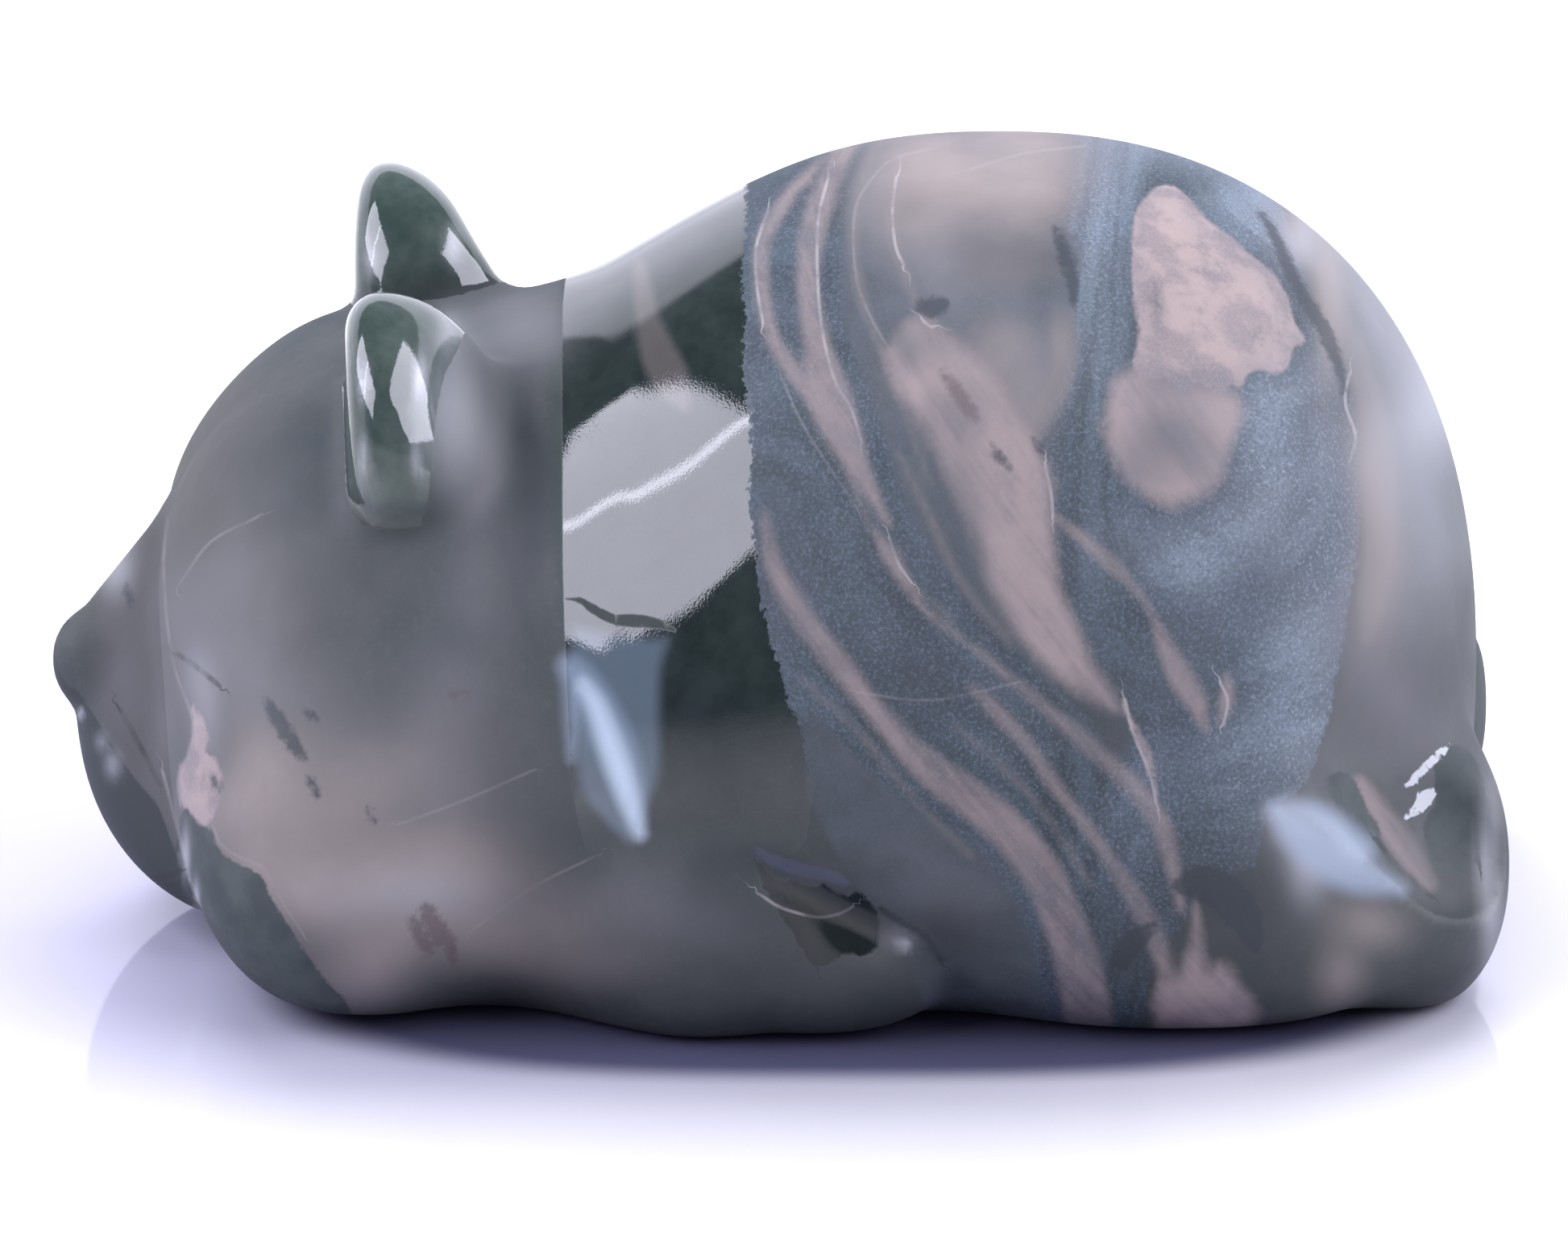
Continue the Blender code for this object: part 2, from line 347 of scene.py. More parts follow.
# Fainter strands at the nape, down the haunch and between the threads
STRANDS = [
    [(792, 330, 8), (800, 385, 14), (812, 430, 20), (830, 470, 22), (846, 500, 10)],
    [(1634, 330, 4), (1660, 400, 12), (1688, 480, 16), (1702, 560, 18), (1706, 640, 20), (1700, 720, 18),
     (1690, 790, 8)],
    [(1085, 178, 4), (1066, 230, 5), (1056, 300, 6), (1063, 360, 6), (1082, 412, 5), (1104, 462, 4),
     (1126, 530, 3), (1150, 600, 2)],
    [(1128, 190, 4), (1106, 240, 5), (1104, 290, 6), (1118, 335, 5), (1140, 400, 3)],
    [(1042, 560, 2), (1072, 640, 4), (1120, 716, 4), (1176, 770, 3)],
    [(1110, 560, 2), (1150, 640, 4), (1185, 716, 4), (1250, 800, 3)],
    [(1325, 380, 4), (1322, 425, 9), (1310, 470, 15), (1294, 505, 17), (1272, 538, 15), (1258, 562, 8)],
    [(1180, 900, 2), (1240, 950, 3), (1300, 1020, 3), (1350, 1100, 3)],
    [(990, 840, 2), (1060, 905, 4), (1130, 990, 3), (1200, 1060, 3)],
]

# The dark green stone at the neck
MOSS = [
    [(697, 345), (925, 232), (985, 300), (990, 600), (1000, 800), (990, 880), (940, 900), (880, 905),
     (829, 905), (824, 850), (838, 790), (780, 776), (700, 770)],
]

# Slate that runs smooth, without streaks
CALM = [
    [(1000, 880), (1050, 930), (1110, 985), (1180, 1030), (1230, 1080), (1270, 1150), (1285, 1220),
     (1290, 1300), (1170, 1300), (1120, 1180), (1050, 1080), (1000, 980)],
    [(1060, 200), (1045, 260), (1040, 350), (1050, 420), (1075, 480), (1095, 540), (1112, 600), (1135, 650),
     (1165, 700), (1200, 745), (1240, 790), (1290, 840), (1345, 890), (1388, 940), (1396, 900), (1354, 834),
     (1333, 782), (1311, 739), (1301, 676), (1296, 612), (1276, 552), (1309, 481), (1325, 425), (1329, 375),
     (1331, 300), (1313, 275), (1316, 206), (1312, 140), (1080, 140)],
]

# Dark stone along the jaw, in the hollow soles and at the lip
JAW = [
    [(228, 1004), (246, 1022), (264, 1030), (270, 1050), (290, 1068), (322, 1083), (336, 1112), (366, 1160),
     (400, 1210), (436, 1256), (400, 1300), (200, 1300), (215, 1100)],
]
SOLE = [
    [(1638, 966), (1661, 958), (1677, 971), (1690, 1003), (1706, 1029), (1703, 1052), (1680, 1034),
     (1654, 1003)],
    [(1775, 939), (1801, 924), (1822, 939), (1834, 971), (1843, 1018), (1848, 1060), (1827, 1076),
     (1796, 1087), (1775, 1080), (1760, 1034), (1764, 1013), (1775, 997), (1774, 975)],
]
LIP = [
    [(92, 853), (105, 868), (125, 898), (147, 935), (172, 970), (197, 1000), (212, 1040), (227, 1080),
     (254, 1140), (225, 1155), (150, 1120), (90, 1050), (70, 950), (74, 870)],
    [(88, 770), (76, 782), (70, 798), (71, 816), (78, 838), (90, 858), (100, 880), (86, 892), (40, 850),
     (40, 770)],
]

# The hollow above a paw, painted near black as shade
SHADED_NOTCH = [
    [(930, 1058), (945, 1078), (965, 1092), (985, 1090), (1000, 1100), (1020, 1096), (1045, 1112),
     (1062, 1104), (1080, 1122), (1088, 1140), (1084, 1176), (1066, 1186), (1046, 1182), (1022, 1196),
     (1006, 1196), (985, 1165), (962, 1128), (942, 1094)],
]

# Inclusions, blue black and then umber; one blue black stroke is painted shade beside a paw
INK_AND_CREASE_SHADE = [
    [(330, 868, 4), (345, 892, 10), (366, 925, 8), (378, 942, 4)],
    [(386, 968, 5), (392, 984, 6)],
    [(380, 882, 4), (392, 890, 5)],
    [(458, 1005, 4), (462, 1018, 5)],
    [(156, 728, 3), (163, 750, 5)],
    [(266, 966, 5), (271, 976, 6)],
    [(1228, 550, 3), (1236, 566, 6), (1250, 582, 3)],
    [(1278, 545, 4), (1290, 560, 5)],
    [(1306, 285, 5), (1318, 318, 9), (1326, 350, 8), (1327, 378, 4)],
    [(1402, 375, 3), (1404, 415, 5), (1400, 440, 3)],
    [(1456, 1098, 8), (1486, 1096, 22), (1516, 1110, 24), (1540, 1140, 20), (1552, 1172, 8)],
    [(1384, 1192, 12), (1402, 1166, 14), (1424, 1150, 8)],
    [(1556, 262, 3), (1576, 292, 7), (1602, 350, 8), (1632, 400, 9), (1650, 440, 8), (1664, 490, 4)],
    [(1140, 381, 9), (1154, 381, 13), (1166, 378, 9)],
    # Painted shade in the crease beside the paw
    [(1090, 1128, 5), (1104, 1136, 4), (1140, 1158, 5), (1164, 1190, 6)],
]
UMBER = [
    [(512, 1140, 5), (520, 1158, 9), (530, 1178, 7)],
    [(546, 1146, 5), (556, 1168, 8), (562, 1190, 6)],
    [(530, 1130, 10), (545, 1162, 12)],
    [(560, 862, 5), (580, 862, 5)],
    [(1166, 462, 4), (1184, 486, 9), (1204, 516, 6)],
]

# The outline of the granular slate over the back
DUST = [
    (925, 200), (921, 300), (918, 350), (922, 400), (919, 450), (925, 500), (931, 560), (925, 620),
    (936, 690), (941, 740), (951, 790), (965, 830), (975, 870), (990, 905), (1000, 950), (1020, 1000),
    (1060, 1060), (1120, 1100), (1160, 1180), (1180, 1290), (1400, 1300), (1424, 1200), (1486, 1112),
    (1552, 1070), (1560, 1040), (1565, 1005), (1600, 985), (1620, 960), (1640, 900), (1655, 830),
    (1668, 750), (1678, 680), (1683, 600), (1680, 540), (1665, 470), (1640, 400), (1607, 330), (1590, 265),
    (1560, 200), (1400, 150), (1100, 150),
]

# Chips at the hind foot
CHIPS = [
    [(1798, 918), (1777, 930), (1759, 947), (1742, 965), (1732, 981), (1744, 977), (1760, 962), (1773, 948),
     (1788, 934)],
    [(1753, 983), (1772, 976), (1776, 985), (1769, 998), (1754, 1011), (1735, 1016), (1738, 1008),
     (1749, 997)],
]

# Hairlines: white and faint cracks, one white line a painted glint, and dark lines of painted shade in
# creases
WHITE_CRACKS_AND_GLINT = [
    [(1025, 219), (1012, 275), (1012, 356), (1019, 419), (1034, 475), (1053, 506), (1066, 548)],
    [(1109, 219), (1104, 262), (1108, 306), (1119, 331)],
    [(950, 262), (936, 305), (936, 350), (944, 400)],
    [(1668, 462), (1663, 500), (1676, 540), (1669, 572)],
    [(1292, 575), (1300, 612), (1302, 640)],
    [(1141, 397), (1150, 405), (1158, 406)],
    [(1390, 862), (1400, 905), (1422, 960), (1430, 1000)],
    [(202, 955), (214, 1000), (225, 1045), (236, 1090), (252, 1136)],
    # A painted glint on an edge in the hollow above the paw
    [(940, 1108), (958, 1121), (980, 1130), (1010, 1137), (1035, 1134), (1054, 1125)],
    [(1100, 668), (1112, 700), (1128, 722)],
    [(1506, 842), (1518, 868), (1512, 900)],
]
PALE_LINES = [
    [(1156, 184), (1106, 197), (1081, 219), (1059, 256), (1056, 312), (1064, 362), (1087, 412), (1112, 450)],
    [(225, 722), (262, 672), (322, 640)],
    [(500, 1020), (580, 990), (660, 955)],
    [(590, 1150), (660, 1100), (740, 1060)],
    [(1060, 858), (1150, 868), (1260, 846)],
    [(1200, 210), (1270, 190), (1340, 182)],
    [(266, 1026), (274, 1046), (300, 1064), (328, 1076), (345, 1110), (378, 1160)],
    [(208, 640), (204, 700), (208, 770), (218, 830), (236, 880), (248, 930)],
    [(968, 470), (990, 520), (1020, 570), (1060, 630)],
]
# Dark lines of painted shade along creases, grooves and the hollow's rim
CREASE_SHADE_LINES = [
    [(1701, 1040), (1722, 1068), (1748, 1094), (1768, 1112)],
    [(1812, 955), (1817, 987), (1824, 1024), (1827, 1070)],
    [(942, 1078), (958, 1112), (984, 1150), (1006, 1192)],
    [(176, 1082), (196, 1090), (222, 1082)],
    [(1090, 1128), (1112, 1142), (1140, 1158), (1164, 1190)],
    [(150, 880), (175, 925), (198, 972)],
    [(222, 812), (242, 825), (270, 848)],
]

# Soft spots, from dark to pale and then the warm ones. The dark ones are dark stone and painted shade in the
# valley behind the head and around the hollow above the paw
DARK_SPOTS_AND_SHADE = [
    (655, 600, 26, 140, 0.85), (500, 655, 60, 26, 0.3), (1010, 1190, 130, 56, 0.4),
    (1060, 1110, 60, 50, 0.3), (1390, 1190, 44, 46, 0.75), (1495, 1105, 46, 36, 0.7),
    (1560, 1170, 80, 60, 0.3), (1180, 1150, 70, 60, 0.6), (1380, 850, 46, 26, 0.45),
    (1250, 322, 70, 22, 0.25), (1126, 268, 18, 26, 0.5), (360, 620, 160, 120, 0.45),
    (646, 600, 44, 80, 0.55), (870, 1112, 34, 30, 0.6), (958, 640, 30, 110, 0.4), (1380, 690, 50, 36, 0.5),
    (1350, 905, 56, 46, 0.4), (1550, 1110, 56, 70, 0.4), (1130, 850, 40, 40, 0.3), (1160, 1140, 40, 30, 0.6),
    (880, 940, 60, 90, 0.65), (1100, 1250, 60, 40, 0.6), (140, 1060, 50, 50, 0.6),
]
GREY = [
    (1458, 546, 54, 56, 0.85), (1140, 420, 50, 40, 0.5), (1190, 500, 30, 50, 0.5), (1270, 470, 40, 50, 0.5),
    (1190, 620, 26, 80, 0.5), (1430, 375, 12, 30, 0.9), (1410, 590, 30, 34, 0.5), (1456, 470, 44, 18, 0.6),
    (1510, 470, 40, 20, 0.4), (1520, 340, 30, 16, 0.3), (1340, 1190, 26, 60, 0.6), (1430, 1160, 14, 50, 0.5),
    (1480, 300, 20, 40, 0.25), (1560, 420, 24, 14, 0.4), (1150, 560, 14, 60, 0.6), (1205, 700, 12, 60, 0.7),
    (1235, 790, 18, 50, 0.6), (1120, 440, 16, 30, 0.4),
]
# Pale spots: pale stone, and painted sheen and highlights at the nape, the back of the near ear, the paw and
# the haunch
PALE_SPOTS_AND_SHEEN = [
    (1720, 850, 80, 110, 0.75), (640, 400, 60, 50, 0.6), (300, 1000, 60, 60, 0.4), (560, 860, 60, 60, 0.35),
    (450, 950, 120, 70, 0.6), (262, 790, 76, 120, 0.5), (148, 836, 34, 60, 0.4), (196, 900, 16, 60, 0.4),
    (1220, 190, 120, 30, 0.6), (255, 900, 18, 44, 0.8), (1620, 1040, 60, 40, 0.5), (600, 740, 44, 70, 0.3),
    (582, 545, 34, 100, 0.9), (1640, 250, 60, 60, 0.6), (790, 1130, 120, 50, 0.4), (1160, 1090, 90, 50, 0.3),
    (580, 1000, 110, 60, 0.5), (380, 850, 70, 60, 0.25), (1112, 1166, 22, 15, 0.7), (1700, 620, 40, 60, 0.4),
    (320, 860, 60, 60, 0.3), (1150, 330, 50, 50, 0.7), (1250, 335, 80, 40, 0.35), (1240, 430, 90, 50, 0.35),
    (1090, 270, 30, 90, 0.4), (1282, 470, 26, 50, 0.4),
]
# Painted highlights on the ears, lip, paw, haunch, foot rim and the body's right edge, with a few pale spots
# of white crack
PAINTED_HIGHLIGHTS_AND_PALE = [
    (1764, 450, 54, 150, 0.6), (1690, 350, 56, 120, 0.36), (1612, 300, 26, 40, 0.4),
    (1750, 620, 56, 110, 0.26), (1842, 1080, 14, 110, 0.7), (1118, 1173, 7, 6, 0.9),
    (1602, 1026, 26, 28, 0.6), (1612, 1084, 26, 44, 0.5), (1654, 1070, 40, 24, 0.4),
    (1584, 1006, 16, 12, 0.6), (143, 948, 10, 16, 0.4), (101, 886, 4, 6, 0.6), (128, 920, 8, 12, 0.3),
    (521, 474, 8, 26, 0.8), (450, 474, 6, 20, 0.8), (462, 318, 9, 22, 0.6), (562, 310, 10, 22, 0.6),
    (452, 560, 6, 26, 0.5), (516, 566, 7, 24, 0.5), (500, 1112, 110, 40, 0.25), (250, 850, 24, 40, 0.18),
    (566, 520, 34, 90, 0.34), (552, 420, 16, 26, 0.3), (150, 700, 20, 34, 0.4), (232, 1064, 5, 34, 0.5),
    (244, 1118, 4, 22, 0.5),
]
EARTH = [
    (240, 600, 110, 220, 0.6), (200, 800, 90, 120, 0.35), (330, 760, 120, 120, 0.3),
    (1252, 328, 82, 26, 0.8), (1130, 320, 50, 24, 0.5),
]
WARM = [
    (380, 1010, 90, 44, 0.7), (490, 1060, 120, 44, 0.6), (400, 1085, 100, 56, 0.95),
    (520, 1110, 120, 66, 0.8), (620, 1160, 90, 44, 0.5), (318, 985, 50, 66, 0.85), (455, 1185, 76, 50, 0.75),
    (1180, 232, 80, 56, 0.85), (1270, 210, 60, 66, 0.75), (1150, 285, 60, 24, 0.3), (1200, 470, 70, 46, 0.4),
    (1262, 515, 36, 44, 0.4), (1702, 640, 30, 130, 0.75), (1640, 390, 18, 110, 0.6),
    (1612, 275, 26, 46, 0.5), (1682, 1144, 46, 34, 0.6), (1662, 1218, 28, 44, 0.6),
    (1645, 355, 22, 60, 0.45), (1230, 420, 44, 40, 0.35), (700, 1200, 80, 30, 0.25),
    (450, 960, 130, 56, 0.5), (1140, 200, 50, 40, 0.6), (1240, 165, 80, 24, 0.5), (1310, 430, 12, 40, 0.4),
]

# The polished part of the neck, and the front of the near ear
GLOSS = [
    [(697, 352), (705, 330), (800, 270), (925, 150), (1010, 300), (1010, 960), (960, 1075), (900, 1115),
     (820, 1120), (740, 1080), (710, 990), (704, 900), (697, 700)],
]
EAR_FRONT = [
    (400, 340), (520, 340), (575, 384), (572, 424), (552, 462), (540, 520), (533, 600), (520, 655),
    (480, 700), (400, 700),
]

# Painted reflections at the neck's flank, with its streak, soft rims and dark band above, and on the haunch
PAINTED_REFLECTION = [
    [(702, 778), (745, 776), (800, 783), (836, 786), (826, 830), (824, 880), (824, 950), (814, 1010),
     (812, 1085), (770, 1090), (715, 1000), (703, 900)],
]
PAINTED_STREAK = [
    [(722, 850, 2), (738, 876, 6), (752, 915, 8), (767, 958, 9), (781, 1000, 6), (791, 1034, 1)],
]
PAINTED_SHEEN = [
    [(706, 826, 14), (712, 850, 13), (710, 890, 9), (708, 940, 3)],
    [(716, 836, 16), (738, 872, 20), (762, 925, 22), (780, 980, 16), (792, 1030, 4)],
    [(1574, 1002, 8), (1598, 1024, 22), (1632, 1054, 30), (1676, 1084, 24), (1730, 1102, 8)],
    [(1588, 996, 6), (1636, 1020, 20), (1676, 1056, 24)],
]
REFLECTION_DARK_BAND = [
    [(698, 741, 2), (715, 743, 4), (738, 757, 6), (760, 768, 6), (780, 769, 8), (802, 771, 7), (820, 775, 5),
     (836, 782, 2)],
]

# Spots of lighter slate
BLUE = [
    (1440, 690, 110, 40, 0.7), (1572, 545, 44, 70, 0.95), (1640, 700, 40, 150, 0.7),
    (1560, 250, 60, 60, 0.9), (1362, 280, 36, 90, 0.75), (1350, 430, 30, 100, 0.3), (1600, 850, 56, 80, 0.6),
    (1400, 1000, 46, 90, 0.3), (1250, 900, 60, 50, 0.2), (1550, 920, 70, 70, 0.45), (1650, 900, 36, 60, 0.6),
    (1520, 640, 50, 30, 0.5), (1450, 190, 110, 30, 0.6),
]

# Painted light on the ledge above the hollow
PAINTED_LIT_LEDGE = [
    [(934, 1054, 3), (956, 1066, 7), (990, 1078, 8), (1020, 1084, 8), (1046, 1094, 5)],
]


def smooth_line(points, closed=False, steps=5):
    """More points along a smooth curve through the given ones."""
    points = np.array(points, float)
    if closed:
        padded = np.vstack([points[-1:], points, points[:2]])
    else:
        padded = np.vstack([2 * points[:1] - points[1:2], points, 2 * points[-1:] - points[-2:-1]])
    out = []
    for a, b, c, d in zip(padded, padded[1:], padded[2:], padded[3:]):
        for t in np.arange(steps) / steps:
            out.append(0.5 * (2 * b + (c - a) * t + (2 * a - 5 * b + 4 * c - d) * t ** 2
                              + (3 * b - a - 3 * c + d) * t ** 3))
    if not closed:
        out.append(points[-1])
    return np.array(out)


def near_to(at, nodes, reach):
    """Which places lie within reach of the box around some nodes."""
    return ((at > nodes.min(0) - reach) & (at < nodes.max(0) + reach)).all(1)


def edge_gap(at, a, b):
    """Distance from each place to the straight edge from a to b, and how far along it lies."""
    d = b - a
    t = np.clip(((at - a) @ d) / max(d @ d, 1e-9), 0, 1)
    return np.hypot(*(at - a - t[:, None] * d).T), t


def stroke_gap(at, stroke, reach=FAR_GAP):
    """Distance from each place to the edge of a stroke, negative inside."""
    line = smooth_line(stroke) / PIXELS_PER_MM
    nodes, half = line[:, :2], line[:, 2]
    out = np.full(len(at), reach)
    near = near_to(at, nodes, reach)
    best = out[near]
    for a, b, half_a, half_b in zip(nodes, nodes[1:], half, half[1:]):
        gap, t = edge_gap(at[near], a, b)
        best = np.minimum(best, gap - (half_a + (half_b - half_a) * t))
    out[near] = best
    return out


def patch_gap(at, corners, smooth=True, reach=FAR_GAP):
    """Distance from each place to the edge of a closed patch, negative inside."""
    outline = smooth_line(corners, closed=True, steps=3) if smooth else np.array(corners, float)
    nodes = outline / PIXELS_PER_MM
    out = np.full(len(at), reach)
    near = near_to(at, nodes, reach)
    place = at[near]
    best = out[near]
    inside = np.zeros(len(place), bool)
    for a, b in zip(nodes, np.roll(nodes, -1, 0)):
        best = np.minimum(best, edge_gap(place, a, b)[0])
        if abs(b[1] - a[1]) > 1e-9:
            crossing = (a[1] > place[:, 1]) != (b[1] > place[:, 1])
            edge = a[0] + (b[0] - a[0]) * (place[:, 1] - a[1]) / (b[1] - a[1])
            inside ^= crossing & (place[:, 0] < edge)
    out[near] = np.where(inside, -best, best)
    return out


def spots_weight(at, spots):
    """How strongly soft round spots colour each place."""
    u, v = at.T
    sideways = np.sin(0.62 * v + 1.3 * np.sin(0.31 * u))
    upright = np.sin(0.55 * u + 1.1 * np.sin(0.43 * v) + 1.0)
    wobble = SPOT_WOBBLE * np.stack([sideways, upright], 1)
    left = np.ones(len(at))
    for x, y, half_width, half_height, strength in spots:
        away = (at * PIXELS_PER_MM - (x, y)) / (half_width, half_height) + wobble
        left *= 1 - strength * np.exp(-np.hypot(*away.T) ** SPOT_POWER)
    return 1 - left


def hairline(at, strokes):
    """Signed distance to the nearest of some thin lines, and 1 beside a line and 0 away from it."""
    nearest = np.full(len(at), FAR_GAP)
    signed = np.full(len(at), FAR_GAP)
    for stroke in strokes:
        nodes = smooth_line(stroke) / PIXELS_PER_MM
        for a, b in zip(nodes, nodes[1:]):
            gap = edge_gap(at, a, b)[0]
            ahead = b - a
            side = np.sign(ahead[0] * (at[:, 1] - a[1]) - ahead[1] * (at[:, 0] - a[0]))
            closer = gap < nearest
            nearest[closer] = gap[closer]
            signed[closer] = (gap * side)[closer]
    return signed, fall(nearest, end=1.2, length=0.5)


def wave(t, height, pace, phase):
    return height * np.sin(pace * t + phase)


def stone_places(points):
    """Where each point lies in the stone's pattern, which runs through it along the photograph's view.

    The places are those of the photograph, in pixels over PIXELS_PER_MM, and they drift on the far side.
    """
    offset = points - np.array(CAMERA_AIM)
    depth = offset @ BACK
    shrink = CAMERA_DISTANCE / (CAMERA_DISTANCE - depth)
    across = offset @ RIGHT * shrink + FRAME_WIDTH / 2 / PIXELS_PER_MM
    down = FRAME_HEIGHT / 2 / PIXELS_PER_MM - offset @ UP * shrink
    far = fall(depth, end=-2, length=16)
    _, y, z = points.T
    across += far * (4.0 + wave(z, 4.2, 0.16, 1.0) + wave(y, 2.8, 0.21, 0.7))
    down += far * (2.5 + wave(y, 3.4, 0.19, 2.0) + wave(z, 2.2, 0.27, 0.4))
    return np.stack([across, down], 1)


def nearest_gap(at, shapes, gap_of=patch_gap, **settings):
    """Distance from each place to the nearest of some strokes or patches."""
    return np.min([gap_of(at, shape, **settings) for shape in shapes], 0)


def pattern_marks(at):
    """The markings that run through the stone, with painted highlights, sheen and shade among its spots and
    lines.
    """
    strokes = {"vein": VEINS, "thread": THREADS, "strand": STRANDS, "ink_and_crease_shade": INK_AND_CREASE_SHADE, "umber": UMBER}
    patches = {"swath": SWATHS, "moss": MOSS, "calm": CALM, "jaw": JAW}
    spots = {"dark_and_shade": DARK_SPOTS_AND_SHADE, "grey": GREY, "pale_and_sheen": PALE_SPOTS_AND_SHEEN, "highlight_and_pale": PAINTED_HIGHLIGHTS_AND_PALE, "earth": EARTH, "warm": WARM,
             "blue": BLUE}
    marks = {name: nearest_gap(at, drawn, stroke_gap) for name, drawn in strokes.items()}
    marks.update({name: nearest_gap(at, drawn) for name, drawn in patches.items()})
    marks.update({name: spots_weight(at, drawn) for name, drawn in spots.items()})
    marks["vein"] = np.minimum(marks["vein"], nearest_gap(at, PATCHES))
    marks["dust"] = patch_gap(at, DUST, smooth=False)
    marks["white"], marks["white_on"] = hairline(at, WHITE_CRACKS_AND_GLINT)
    marks["faint"], marks["faint_on"] = hairline(at, PALE_LINES)
    marks["flow"] = streak_flow(at)
    return marks


def streak_flow(at):
    """How far each place lies across the slate's streaks, in steps of a millimetre.

    The streaks follow the long vein, and further along the patch on the back.
    """
    middle = [(x, y, 0) for x, y, _ in LONG_VEIN]
    left = np.trunc(stroke_gap(at, middle, FLOW_REACH))
    patch, lobe = (patch_gap(at, shape, reach=FLOW_REACH) for shape in (BACK_PATCH, BACK_LOBE))
    right = np.abs(np.trunc(np.minimum(patch, lobe)))
    share = rise(at[:, 0], start=53, length=8)
    return left * (1 - share) + right * share


def carved_marks(points):
    """The carved shape's markings and painted reflections, light and shade, alike on both sides and off the
    middle.
    """
    x, y, z = points.T
    beside = np.abs(x)
    both = stone_places(np.stack([beside, y, z], 1))
    strokes = {"painted_lit_ledge": PAINTED_LIT_LEDGE, "painted_streak": PAINTED_STREAK, "painted_sheen": PAINTED_SHEEN, "reflection_dark_band": REFLECTION_DARK_BAND}
    patches = {"shaded_notch": SHADED_NOTCH, "lip": LIP, "sole": SOLE, "gloss": GLOSS, "mirror": PAINTED_REFLECTION}
    marks = {name: nearest_gap(both, drawn, stroke_gap) for name, drawn in strokes.items()}
    marks.update({name: nearest_gap(both, drawn) for name, drawn in patches.items()})
    # Keeps the painted reflections off the middle
    for name in ("painted_streak", "painted_sheen", "mirror", "reflection_dark_band"):
        marks[name] += FAR_GAP * fall(beside, end=13, length=3)
    marks["sole"] += FAR_GAP * fall(beside, end=8, length=3)
    marks["mirror"] += 1.5 * rise(both[:, 1], start=40.5, length=5.5)
    marks["fade"] = rise(both[:, 1], start=40, length=6)
    # Dark lines of painted shade along the creases and grooves
    marks["dark"], marks["dark_on"] = hairline(both, CREASE_SHADE_LINES)
    at_side = rise(beside, start=12, length=2)
    marks["dark_on"] *= np.maximum(at_side, fall(y, end=-25, length=2))
    return marks


def add_ears(marks, at, points):
    """Tints and polishes the ears, the near one mostly on its front."""
    p = points.T
    clear = fuse(trunk(p), head(p), HEAD_BLEND) - ear(p)
    front = np.where(p[0] > 0, fall(patch_gap(at, EAR_FRONT), end=0.225, length=0.45), 1.0)
    marks["ears"] = rise(clear, start=0, length=2.5) * np.maximum(front, 0.25)
    polished = rise(clear, start=0, length=0.6) * front
    marks["gloss"] = np.minimum(marks["gloss"], 1.0 - 2.0 * polished)


def markings(points):
    """The stone's markings at each point: gaps in millimetres to sharp ones, and weights of soft ones."""
    at = stone_places(points)
    marks = pattern_marks(at)
    marks.update(carved_marks(points))
    chips = nearest_gap(at, CHIPS, smooth=False)
    marks["chip"] = chips + FAR_GAP * fall(points[:, 0], end=12, length=3)
    add_ears(marks, at, points)
    return marks


# Materials
def srgb(*screen):
    """A linear colour from 0 to 255 screen values."""
    linear = [((c / 255 + 0.055) / 1.055) ** 2.4 if c > 10 else c / 255 / 12.92 for c in screen]
    return (*linear, 1.0)


# Colours of the stone, as a dark and a light one where a noise mixes them
FOG = srgb(34, 44, 48), srgb(58, 61, 65)
FOG_CLOUD = srgb(50, 56, 58)
FOG_HAZE = srgb(84, 88, 94)
FOG_GRAIN = srgb(22, 32, 36)
NECK_GREEN = srgb(20, 34, 34), srgb(40, 52, 52)
SLATE = srgb(26, 42, 51), srgb(51, 66, 79)
SLATE_LIGHT = srgb(79, 92, 108), srgb(118, 132, 151)
SLATE_CLOUD = srgb(51, 58, 73)
SLATE_GRIT = srgb(116, 130, 152)
SLATE_PITS = srgb(18, 26, 36)
SLATE_SPARKLE = srgb(166, 178, 200)
CALM_SLATE = srgb(40, 50, 60), srgb(62, 69, 80)
CALM_GRIT = srgb(84, 92, 98)
# Dark blue for dark stone and for painted shade
DARK_BLUE_AND_SHADE = srgb(10, 20, 26), srgb(40, 48, 56)
# Pale grey for pale stone and for painted sheen
PALE_GREY_AND_SHEEN = srgb(88, 91, 102), srgb(116, 113, 122)
WARM_TAN = srgb(124, 115, 115), srgb(148, 137, 138)
PINK = srgb(122, 112, 118), srgb(150, 134, 136)
PINK_FIBRE = srgb(156, 141, 143)
PINK_BLUSH = srgb(158, 141, 142)
PINK_GRIT = srgb(166, 150, 152)
VEIN_GREY = srgb(80, 82, 90)
VEIN_RIM = srgb(92, 96, 112)
FOREST = srgb(24, 38, 42), srgb(52, 62, 64)
LIP_BLACK = srgb(8, 20, 26), srgb(30, 42, 48)
EAR_GREEN = srgb(50, 66, 64), srgb(76, 88, 86)
# Painted shade in the hollow above a paw
HOLLOW_SHADE = srgb(4, 14, 14), srgb(26, 36, 38)

# Hairlines as the marking's name, half width in millimetres, colour and strength
HAIRLINES = (
    ("faint", 0.06, srgb(150, 148, 152), 0.20),
    # Dark lines of painted shade along creases and grooves
    ("dark", 0.11, srgb(14, 22, 28), 0.75),
    # White cracks, with one painted glint
    ("white", 0.065, srgb(172, 168, 176), 0.45),
)

